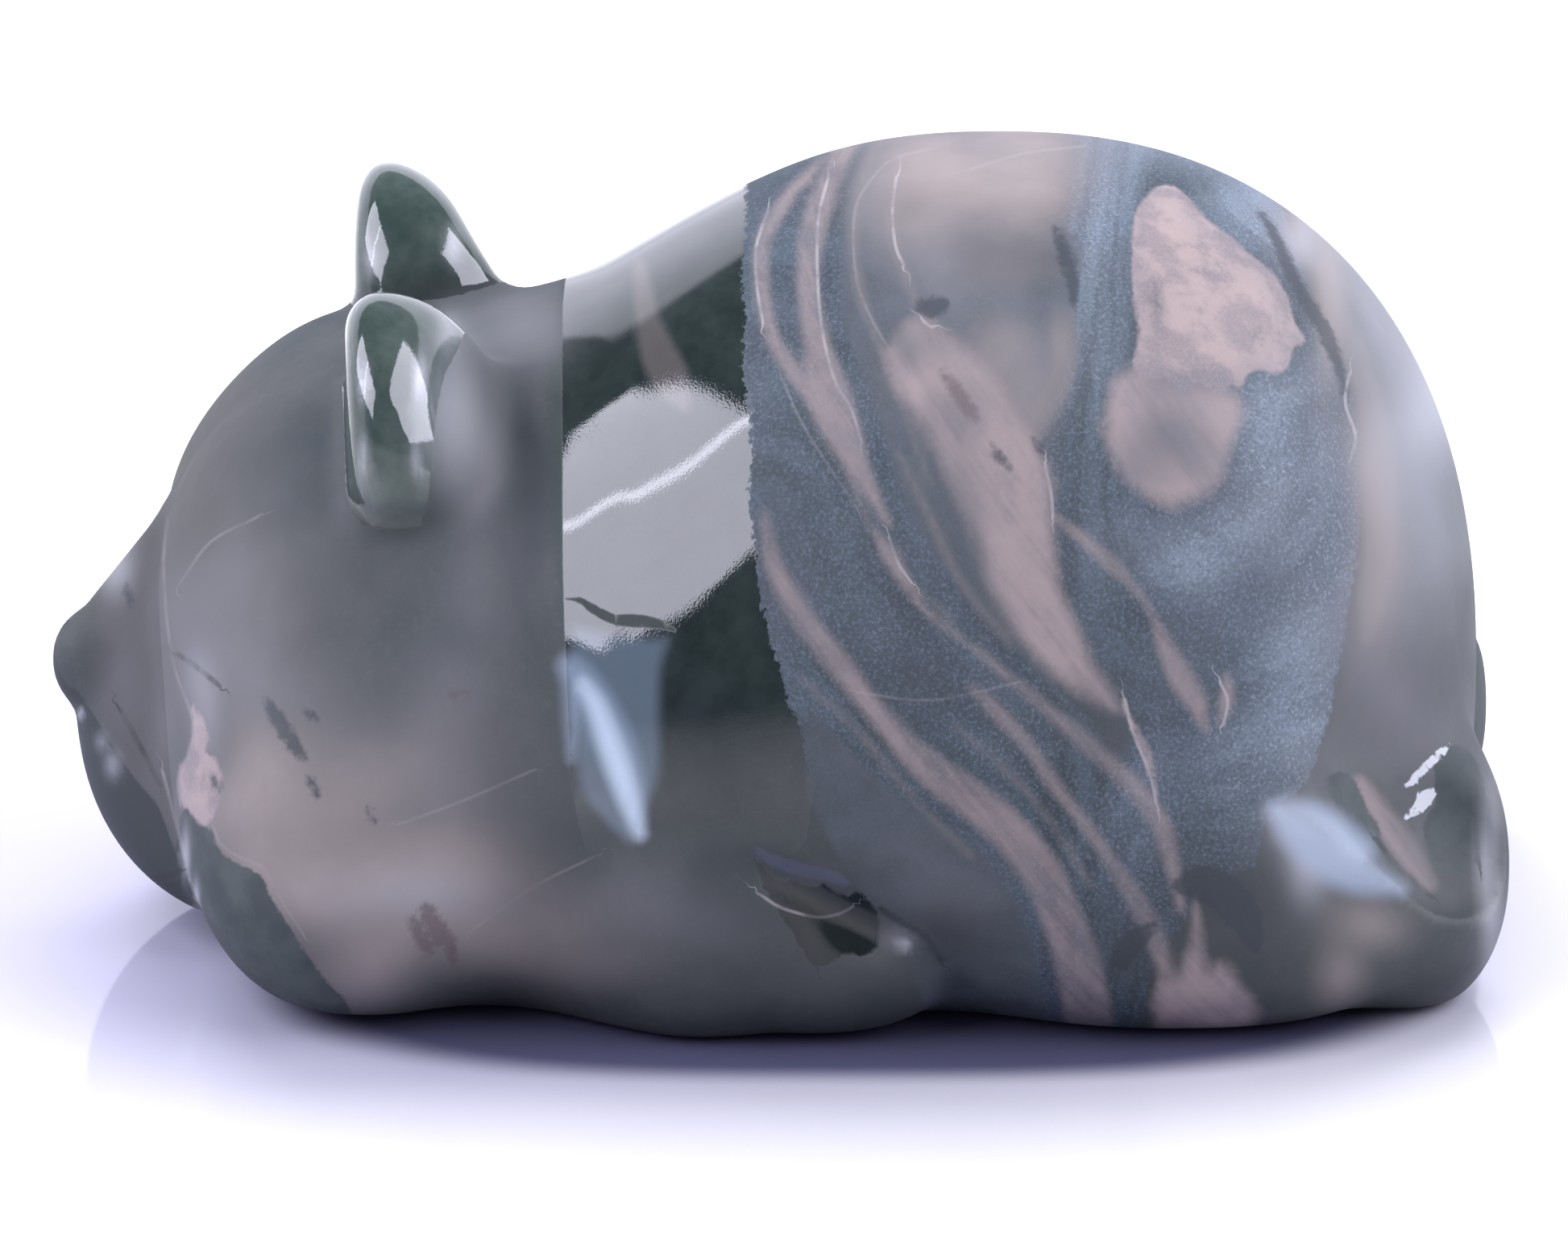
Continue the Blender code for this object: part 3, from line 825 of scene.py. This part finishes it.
# The floor's board and its pools of shade, as linear colours, with their centres and half sizes in metres
BOARD = (0.86, 0.86, 0.90, 1)
SHADE = (0.58, 0.57, 0.80, 1)
SHADE_CENTRE, SHADE_HALF, SHADE_POWER = (0.0, -0.012), (0.030, 0.060), 2.0
CONTACT = (0.12, 0.12, 0.23, 1)
CONTACT_CENTRE, CONTACT_HALF, CONTACT_POWER = (0.005, 0.004), (0.0185, 0.029), 3.0


class Nodes:
    """A short way to write a node tree."""

    def __init__(self, tree):
        self.tree = tree

    def add(self, kind, **settings):
        node = self.tree.nodes.new(kind)
        for key, value in settings.items():
            setattr(node, key, value)
        return node

    def link(self, value, socket):
        if hasattr(value, "is_output"):
            self.tree.links.new(value, socket)
        else:
            socket.default_value = value

    def math(self, operation, a, b=0.0):
        node = self.add("ShaderNodeMath", operation=operation)
        self.link(a, node.inputs[0])
        self.link(b, node.inputs[1])
        return node.outputs[0]

    def times(self, a, b):
        return self.math("MULTIPLY", a, b)

    def mix(self, share, a, b):
        node = self.add("ShaderNodeMix", data_type="RGBA")
        self.link(share, node.inputs[0])
        self.link(a, node.inputs[6])
        self.link(b, node.inputs[7])
        return node.outputs[2]

    def split(self, vector):
        """The three parts of a vector."""
        node = self.add("ShaderNodeSeparateXYZ")
        self.link(vector, node.inputs[0])
        return node.outputs

    def noise(self, vector, scale, detail, rough):
        node = self.add("ShaderNodeTexNoise")
        self.link(vector, node.inputs["Vector"])
        node.inputs["Scale"].default_value = scale
        node.inputs["Detail"].default_value = detail
        node.inputs["Roughness"].default_value = rough
        return node.outputs["Fac"]

    def between(self, value, low, high, to_low=0.0, to_high=1.0):
        node = self.add("ShaderNodeMapRange", interpolation_type="SMOOTHSTEP")
        self.link(value, node.inputs["Value"])
        for name, number in (("From Min", low), ("From Max", high), ("To Min", to_low), ("To Max", to_high)):
            node.inputs[name].default_value = number
        return node.outputs["Result"]

    def below(self, value, low, high):
        """1 up to low, and 0 from high on."""
        return self.between(value, low, high, 1.0, 0.0)

    def rest(self, share):
        """What a share leaves of 1."""
        return self.math("SUBTRACT", 1.0, share)


class Surface(Nodes):
    """A new material with one plain shader."""

    def __init__(self, name):
        self.material = bpy.data.materials.new(name)
        self.material.use_nodes = True
        super().__init__(self.material.node_tree)
        self.place = self.add("ShaderNodeTexCoord").outputs["Object"]

    def set(self, name, value):
        self.link(value, self.tree.nodes["Principled BSDF"].inputs[name])


class Stone(Surface):
    """The carving's material, whose colour is laid on layer by layer."""

    def __init__(self):
        super().__init__("polished stone")
        scaled = self.add("ShaderNodeVectorMath", operation="SCALE")
        self.link(self.place, scaled.inputs[0])
        scaled.inputs["Scale"].default_value = 1 / MM
        self.mm = scaled.outputs[0]
        self.clouds = self.noise(self.mm, scale=0.11, detail=4.0, rough=0.6)
        self.patches = self.noise(self.mm, scale=0.35, detail=5.0, rough=0.6)
        self.crumble = self.noise(self.mm, scale=2.2, detail=4.0, rough=0.7)
        self.grain = self.noise(self.mm, scale=5.5, detail=3.0, rough=0.75)
        self.speck = self.noise(self.mm, scale=9.0, detail=1.0, rough=0.5)
        self.dust = self.sharp("dust", ragged=1.3, soft=0.10)
        self.colour = None

    def mark(self, name):
        return self.add("ShaderNodeAttribute", attribute_name=name).outputs["Fac"]

    def sharp(self, name, ragged, soft, wobble=None):
        """1 inside a marking and 0 outside, with its edge moved by a noise."""
        shift = self.math("SUBTRACT", wobble or self.crumble, 0.5)
        gap = self.math("ADD", self.mark(name), self.times(shift, ragged))
        return self.below(gap, -soft, soft)

    def tones(self, pair, noise=None, low=0.3, high=0.7):
        """A dark and a light colour, mixed by a noise."""
        return self.mix(self.between(noise or self.patches, low, high), *pair)

    def tinge(self, base, top, noise, low, high, most):
        """A base colour with at most that share of another one, where a noise goes from low to high."""
        return self.mix(self.between(noise, low, high, 0.0, most), base, top)

    def lay(self, share, top, strength=1.0):
        """Lays a colour on the colour so far."""
        self.colour = self.mix(self.times(share, strength), self.colour, top)

    def lay_ground(self):
        """Grey fog, with dark green at the neck."""
        fog = self.tones(FOG, self.clouds, 0.35, 0.68)
        fog = self.tinge(fog, FOG_CLOUD, self.patches, 0.35, 0.75, 0.5)
        fog = self.tinge(fog, FOG_HAZE, self.crumble, 0.48, 0.78, 0.16)
        self.colour = self.tinge(fog, FOG_GRAIN, self.grain, 0.50, 0.28, 0.20)
        self.lay(self.sharp("moss", ragged=1.0, soft=0.5), self.tones(NECK_GREEN))

    def streaks(self):
        """A noise drawn out along the flow of the slate."""
        place = self.add("ShaderNodeCombineXYZ")
        self.link(self.times(self.mark("flow"), 0.42), place.inputs[0])
        for axis in (1, 2):
            self.link(self.times(self.split(self.mm)[axis], 0.12), place.inputs[axis])
        return self.noise(place.outputs[0], scale=1.0, detail=3.0, rough=0.55)

    def lay_slate(self):
        """Granular blue slate over the back, with calmer slate where it runs smooth."""
        streak = self.streaks()
        slate = self.tones(SLATE, streak, 0.34, 0.66)
        slate = self.tinge(slate, SLATE_CLOUD, self.clouds, 0.42, 0.62, 0.5)
        slate = self.mix(self.mark("blue"), slate, self.tones(SLATE_LIGHT, streak))
        slate = self.tinge(slate, SLATE_GRIT, self.grain, 0.47, 0.72, 0.34)
        slate = self.tinge(slate, SLATE_PITS, self.grain, 0.52, 0.30, 0.45)
        sparkle = self.times(self.between(self.grain, 0.54, 0.70), self.mark("blue"))
        slate = self.mix(self.times(sparkle, 0.45), slate, SLATE_SPARKLE)
        self.lay(self.dust, slate)
        calm = self.tinge(self.tones(CALM_SLATE), CALM_GRIT, self.grain, 0.45, 0.7, 0.2)
        self.lay(self.sharp("calm", ragged=0.5, soft=0.30), calm, 0.95)

    def lay_soft_spots(self):
        self.lay(self.mark("earth"), srgb(66, 62, 61))
        # Dark spots lay painted shade as well as dark stone, and pale ones painted sheen as well as pale
        # stone
        for name, pair in (("dark_and_shade", DARK_BLUE_AND_SHADE), ("pale_and_sheen", PALE_GREY_AND_SHEEN), ("warm", WARM_TAN)):
            self.lay(self.mark(name), self.mix(self.patches, *pair))

    def fibres(self):
        """A noise drawn out into fibres that lean back."""
        turned = self.add("ShaderNodeMapping", vector_type="TEXTURE")
        self.link(self.mm, turned.inputs["Vector"])
        turned.inputs["Rotation"].default_value = (math.radians(-52), 0, 0)
        turned.inputs["Scale"].default_value = (9, 9, 0.85)
        return self.noise(turned.outputs[0], scale=1.0, detail=3.0, rough=0.6)

    def lay_veins(self):
        """Pink strands, threads, soft swaths and crisp veins, each laid over the last."""
        wander = self.math("ADD", self.times(self.patches, 0.7), self.times(self.crumble, 0.3))
        fibre = self.fibres()
        grey = self.mark("grey")
        pink = self.tones(PINK)
        self.lay(self.sharp("strand", 0.8, 0.35, wander), srgb(118, 110, 112), 0.4)
        threads = self.sharp("thread", 0.9, 0.38, wander)
        self.lay(self.times(threads, self.between(fibre, 0.32, 0.62, 0.6, 1.0)), pink, 0.66)
        swaths = self.sharp("swath", 1.8, 0.65, wander)
        fibrous = self.tinge(pink, PINK_FIBRE, fibre, 0.3, 0.75, 0.6)
        swath_colour = self.mix(grey, fibrous, VEIN_GREY)
        self.lay(self.times(swaths, self.between(fibre, 0.3, 0.5, 0.9, 1.0)), swath_colour, 0.92)
        dull = self.mix(grey, pink, VEIN_GREY)
        blush = self.tones((dull, self.mix(grey, PINK_BLUSH, dull)), self.patches, 0.44, 0.60)
        blush = self.tinge(blush, PINK_GRIT, self.grain, 0.4, 0.7, 0.3)
        blush = self.tinge(blush, VEIN_RIM, self.mark("vein"), -1.4, -0.2, 0.22)
        self.lay(self.sharp("vein", 1.0, 0.14, wander), blush, 0.94)

    def lay_carved_places(self):
        """Jaw, soles, lip and ears, painted highlights, painted shade and light at each paw's hollow, and
        dark inclusions.
        """
        forest = self.tones(FOREST, self.patches, 0.35, 0.65)
        for name in ("jaw", "sole"):
            self.lay(self.sharp(name, ragged=0.5, soft=0.10), forest)
        self.lay(self.sharp("lip", ragged=0.08, soft=0.08), self.mix(self.patches, *LIP_BLACK))
        self.lay(self.mark("ears"), self.tones(EAR_GREEN))
        # Painted highlights, with a few pale spots of the stone
        self.lay(self.mark("highlight_and_pale"), srgb(178, 180, 193))
        # Painted shade in the hollow above each paw
        self.lay(self.sharp("shaded_notch", ragged=0.6, soft=0.12), self.mix(self.patches, *HOLLOW_SHADE))
        # Painted light on the ledge above the hollow
        self.lay(self.sharp("painted_lit_ledge", ragged=0.5, soft=0.18), srgb(66, 72, 92), 0.8)
        self.lay(self.sharp("umber", ragged=0.9, soft=0.25), srgb(74, 60, 66), 0.65)
        # Blue black inclusions, and painted shade beside the paw
        self.lay(self.sharp("ink_and_crease_shade", ragged=0.7, soft=0.18), srgb(26, 36, 46), 0.8)

    def lay_reflections(self):
        """Painted reflections: pale patches at the neck's flank and the haunch, with a streak, under a dark
        band.
        """
        # Painted reflections, laid as pale and dark colour
        self.lay(self.below(self.mark("mirror"), -0.9, 0.1), srgb(92, 106, 122), 0.85)
        self.lay(self.sharp("reflection_dark_band", ragged=0.1, soft=0.05), srgb(20, 30, 32))
        self.lay(self.below(self.mark("painted_sheen"), -0.8, 0.6), srgb(150, 166, 192), 0.7)
        self.lay(self.below(self.mark("painted_streak"), -0.4, 0.75), srgb(200, 216, 238), 0.7)

    def lay_cracks(self):
        """Hairlines that come and go, cracks with a painted glint and painted shade in creases, and the
        chips at a hind foot.
        """
        for name, half, top, strength in HAIRLINES:
            stroke = self.below(self.math("ABSOLUTE", self.mark(name)), half * 0.5, half * 2.0)
            stroke = self.times(stroke, self.between(self.patches, 0.40, 0.56, 0.35, 1.0))
            self.lay(self.times(stroke, self.mark(name + "_on")), top, strength)
        self.lay(self.sharp("chip", ragged=0.3, soft=0.05), srgb(196, 200, 210))

    def polish(self):
        """Mirror bright at the neck and the ears, and satin elsewhere."""
        gloss = self.sharp("gloss", ragged=0.1, soft=0.06)
        for dull in (self.dust, self.mark("fade"), self.sharp("reflection_dark_band", ragged=0.1, soft=0.08)):
            gloss = self.times(gloss, self.rest(dull))
        hollow = self.times(self.sharp("shaded_notch", ragged=0.6, soft=0.2), 0.85)
        gloss = self.math("MAXIMUM", gloss, hollow)
        satin = self.between(self.patches, 0.2, 0.8, 0.70, 0.82)
        self.set("Roughness", self.math("MAXIMUM", self.times(self.rest(gloss), satin), 0.05))
        self.set("IOR", 1.55)

    def relief(self):
        bump = self.add("ShaderNodeBump")
        bump.inputs["Strength"].default_value = 0.06
        bump.inputs["Distance"].default_value = 0.00004
        self.link(self.speck, bump.inputs["Height"])
        self.set("Normal", bump.outputs[0])


def stone_material():
    stone = Stone()
    stone.lay_ground()
    stone.lay_slate()
    stone.lay_soft_spots()
    stone.lay_veins()
    stone.lay_carved_places()
    stone.lay_reflections()
    stone.lay_cracks()
    stone.set("Base Color", stone.colour)
    stone.polish()
    stone.relief()
    return stone.material


def floor_material():
    """White gloss board, with the lavender pool of shade that the carving stands in."""
    board = Surface("pale floor")
    place = board.split(board.place)

    def reach(centre, half, power):
        """How far out each place lies, with 1 on a rounded rectangle of that centre and half sizes."""
        total = 0.0
        for axis in (0, 1):
            offset = board.math("SUBTRACT", place[axis], centre[axis])
            share = board.math("ABSOLUTE", board.math("DIVIDE", offset, half[axis]))
            total = board.math("ADD", board.math("POWER", share, power), total)
        return board.math("POWER", total, 1 / power)

    pool = board.below(reach(SHADE_CENTRE, SHADE_HALF, SHADE_POWER), 0.5, 1.5)
    contact = board.below(reach(CONTACT_CENTRE, CONTACT_HALF, CONTACT_POWER), 0.95, 1.12)
    board.set("Base Color", board.mix(contact, board.mix(pool, BOARD, SHADE), CONTACT))
    board.set("Roughness", 0.07)
    board.set("IOR", 1.38)
    return board.material


# Scene
FIT = 0.9995
FLOOR_REACH = 3.0
FLOOR_DROP = 0.00002
PANEL_DISTANCE = 0.6
REFLECTED_TINT = (0.97, 0.96, 1.12)
DIM_ROOM = (0.22, 0.22, 0.26, 1)
WHITE_WALL = (1.5, 1.5, 1.75, 1)

# Softboxes as name, azimuth and elevation in degrees, size in metres, radiance and the rays that see them
PANELS = (
    ("left softbox", 18.5, 38, (0.81, 0.40), 7.5, "glossy"),
    ("left softbox core", 21, 38, (0.03, 0.40), 8.0, "glossy"),
    ("right softbox", 166, 34, (0.70, 0.50), 7.5, "glossy"),
    ("left fill", 19, 43, (0.72, 0.5), 2.4, "diffuse"),
    ("right fill", 164, 42, (0.58, 0.4), 3.3, "diffuse"),
    ("back fill", -90, 60, (0.55, 0.45), 5.0, "diffuse"),
)


def add_object(name, data):
    item = bpy.data.objects.new(name, data)
    bpy.context.scene.collection.objects.link(item)
    return item


def make_carving():
    """The stone's skin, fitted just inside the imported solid's box."""
    points, faces = skin()
    marks = markings(points)
    low, high = (np.array(corner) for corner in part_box(NODE))
    own_low, own_high = points.min(0) * MM, points.max(0) * MM
    size = (high - low) * FIT / (own_high - own_low)
    world = (points * MM - (own_low + own_high) / 2) * size + (low + high) / 2
    world[:, 2] -= world[:, 2].min() - low[2]
    mesh = bpy.data.meshes.new("carved_stone")
    mesh.from_pydata(world.tolist(), [], faces)
    mesh.update()
    mesh.shade_smooth()
    for name, values in marks.items():
        mesh.attributes.new(name, "FLOAT", "POINT").data.foreach_set("value", values.astype(np.float32))
    mesh.materials.append(stone_material())
    item = add_object("carved_stone", mesh)
    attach(item, "root")
    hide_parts(NODE)


def make_floor():
    mesh = bpy.data.meshes.new("floor")
    corners = [(-1, -1, 0), (1, -1, 0), (1, 1, 0), (-1, 1, 0)]
    mesh.from_pydata([(x * FLOOR_REACH, y * FLOOR_REACH, z) for x, y, z in corners], [], [(0, 1, 2, 3)])
    mesh.materials.append(floor_material())
    item = add_object("floor", mesh)
    item.location.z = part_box(NODE)[0].z - FLOOR_DROP


def heading(azimuth, elevation):
    a, e = math.radians(azimuth), math.radians(elevation)
    return Vector((math.sin(a) * math.cos(e), -math.cos(a) * math.cos(e), math.sin(e)))


def make_panel(name, azimuth, elevation, size, radiance, sees):
    """A softbox that only the diffuse or only the glossy rays see."""
    lamp = bpy.data.lights.new(name, "AREA")
    lamp.shape = "RECTANGLE"
    lamp.size, lamp.size_y = size
    lamp.energy = radiance * math.pi * size[0] * size[1]
    lamp.color = REFLECTED_TINT if sees == "glossy" else (1, 1, 1)
    item = add_object(name, lamp)
    way = heading(azimuth, elevation)
    item.location = way * PANEL_DISTANCE
    item.rotation_euler = way.to_track_quat("Z", "Y").to_euler()
    item.visible_diffuse = sees == "diffuse"
    item.visible_glossy = sees == "glossy"


def make_world():
    """A white wall low behind and beside the carving, dim above and on the camera's side."""
    world = bpy.data.worlds.new("studio")
    bpy.context.scene.world = world
    world.use_nodes = True
    room = Nodes(world.node_tree)
    way = room.split(room.add("ShaderNodeTexCoord").outputs["Generated"])
    wall = room.times(room.below(way[2], 0.44, 0.48), room.below(way[0], 0.25, 0.55))
    room.link(room.mix(wall, DIM_ROOM, WHITE_WALL), room.tree.nodes["Background"].inputs[0])


def make_camera():
    lens = bpy.data.cameras.new("photograph")
    lens.sensor_width = SENSOR
    lens.sensor_fit = "HORIZONTAL"
    lens.lens = SENSOR * PIXELS_PER_MM * CAMERA_DISTANCE / FRAME_WIDTH
    lens.clip_start = 0.01
    item = add_object("photograph", lens)
    back = Vector(BACK)
    item.location = (Vector(CAMERA_AIM) + back * CAMERA_DISTANCE) * MM
    item.rotation_euler = back.to_track_quat("Z", "Y").to_euler()
    bpy.context.scene.camera = item


bpy.context.scene.view_settings.view_transform = "Standard"
make_camera()
make_world()
make_floor()
make_carving()
for settings in PANELS:
    make_panel(*settings)
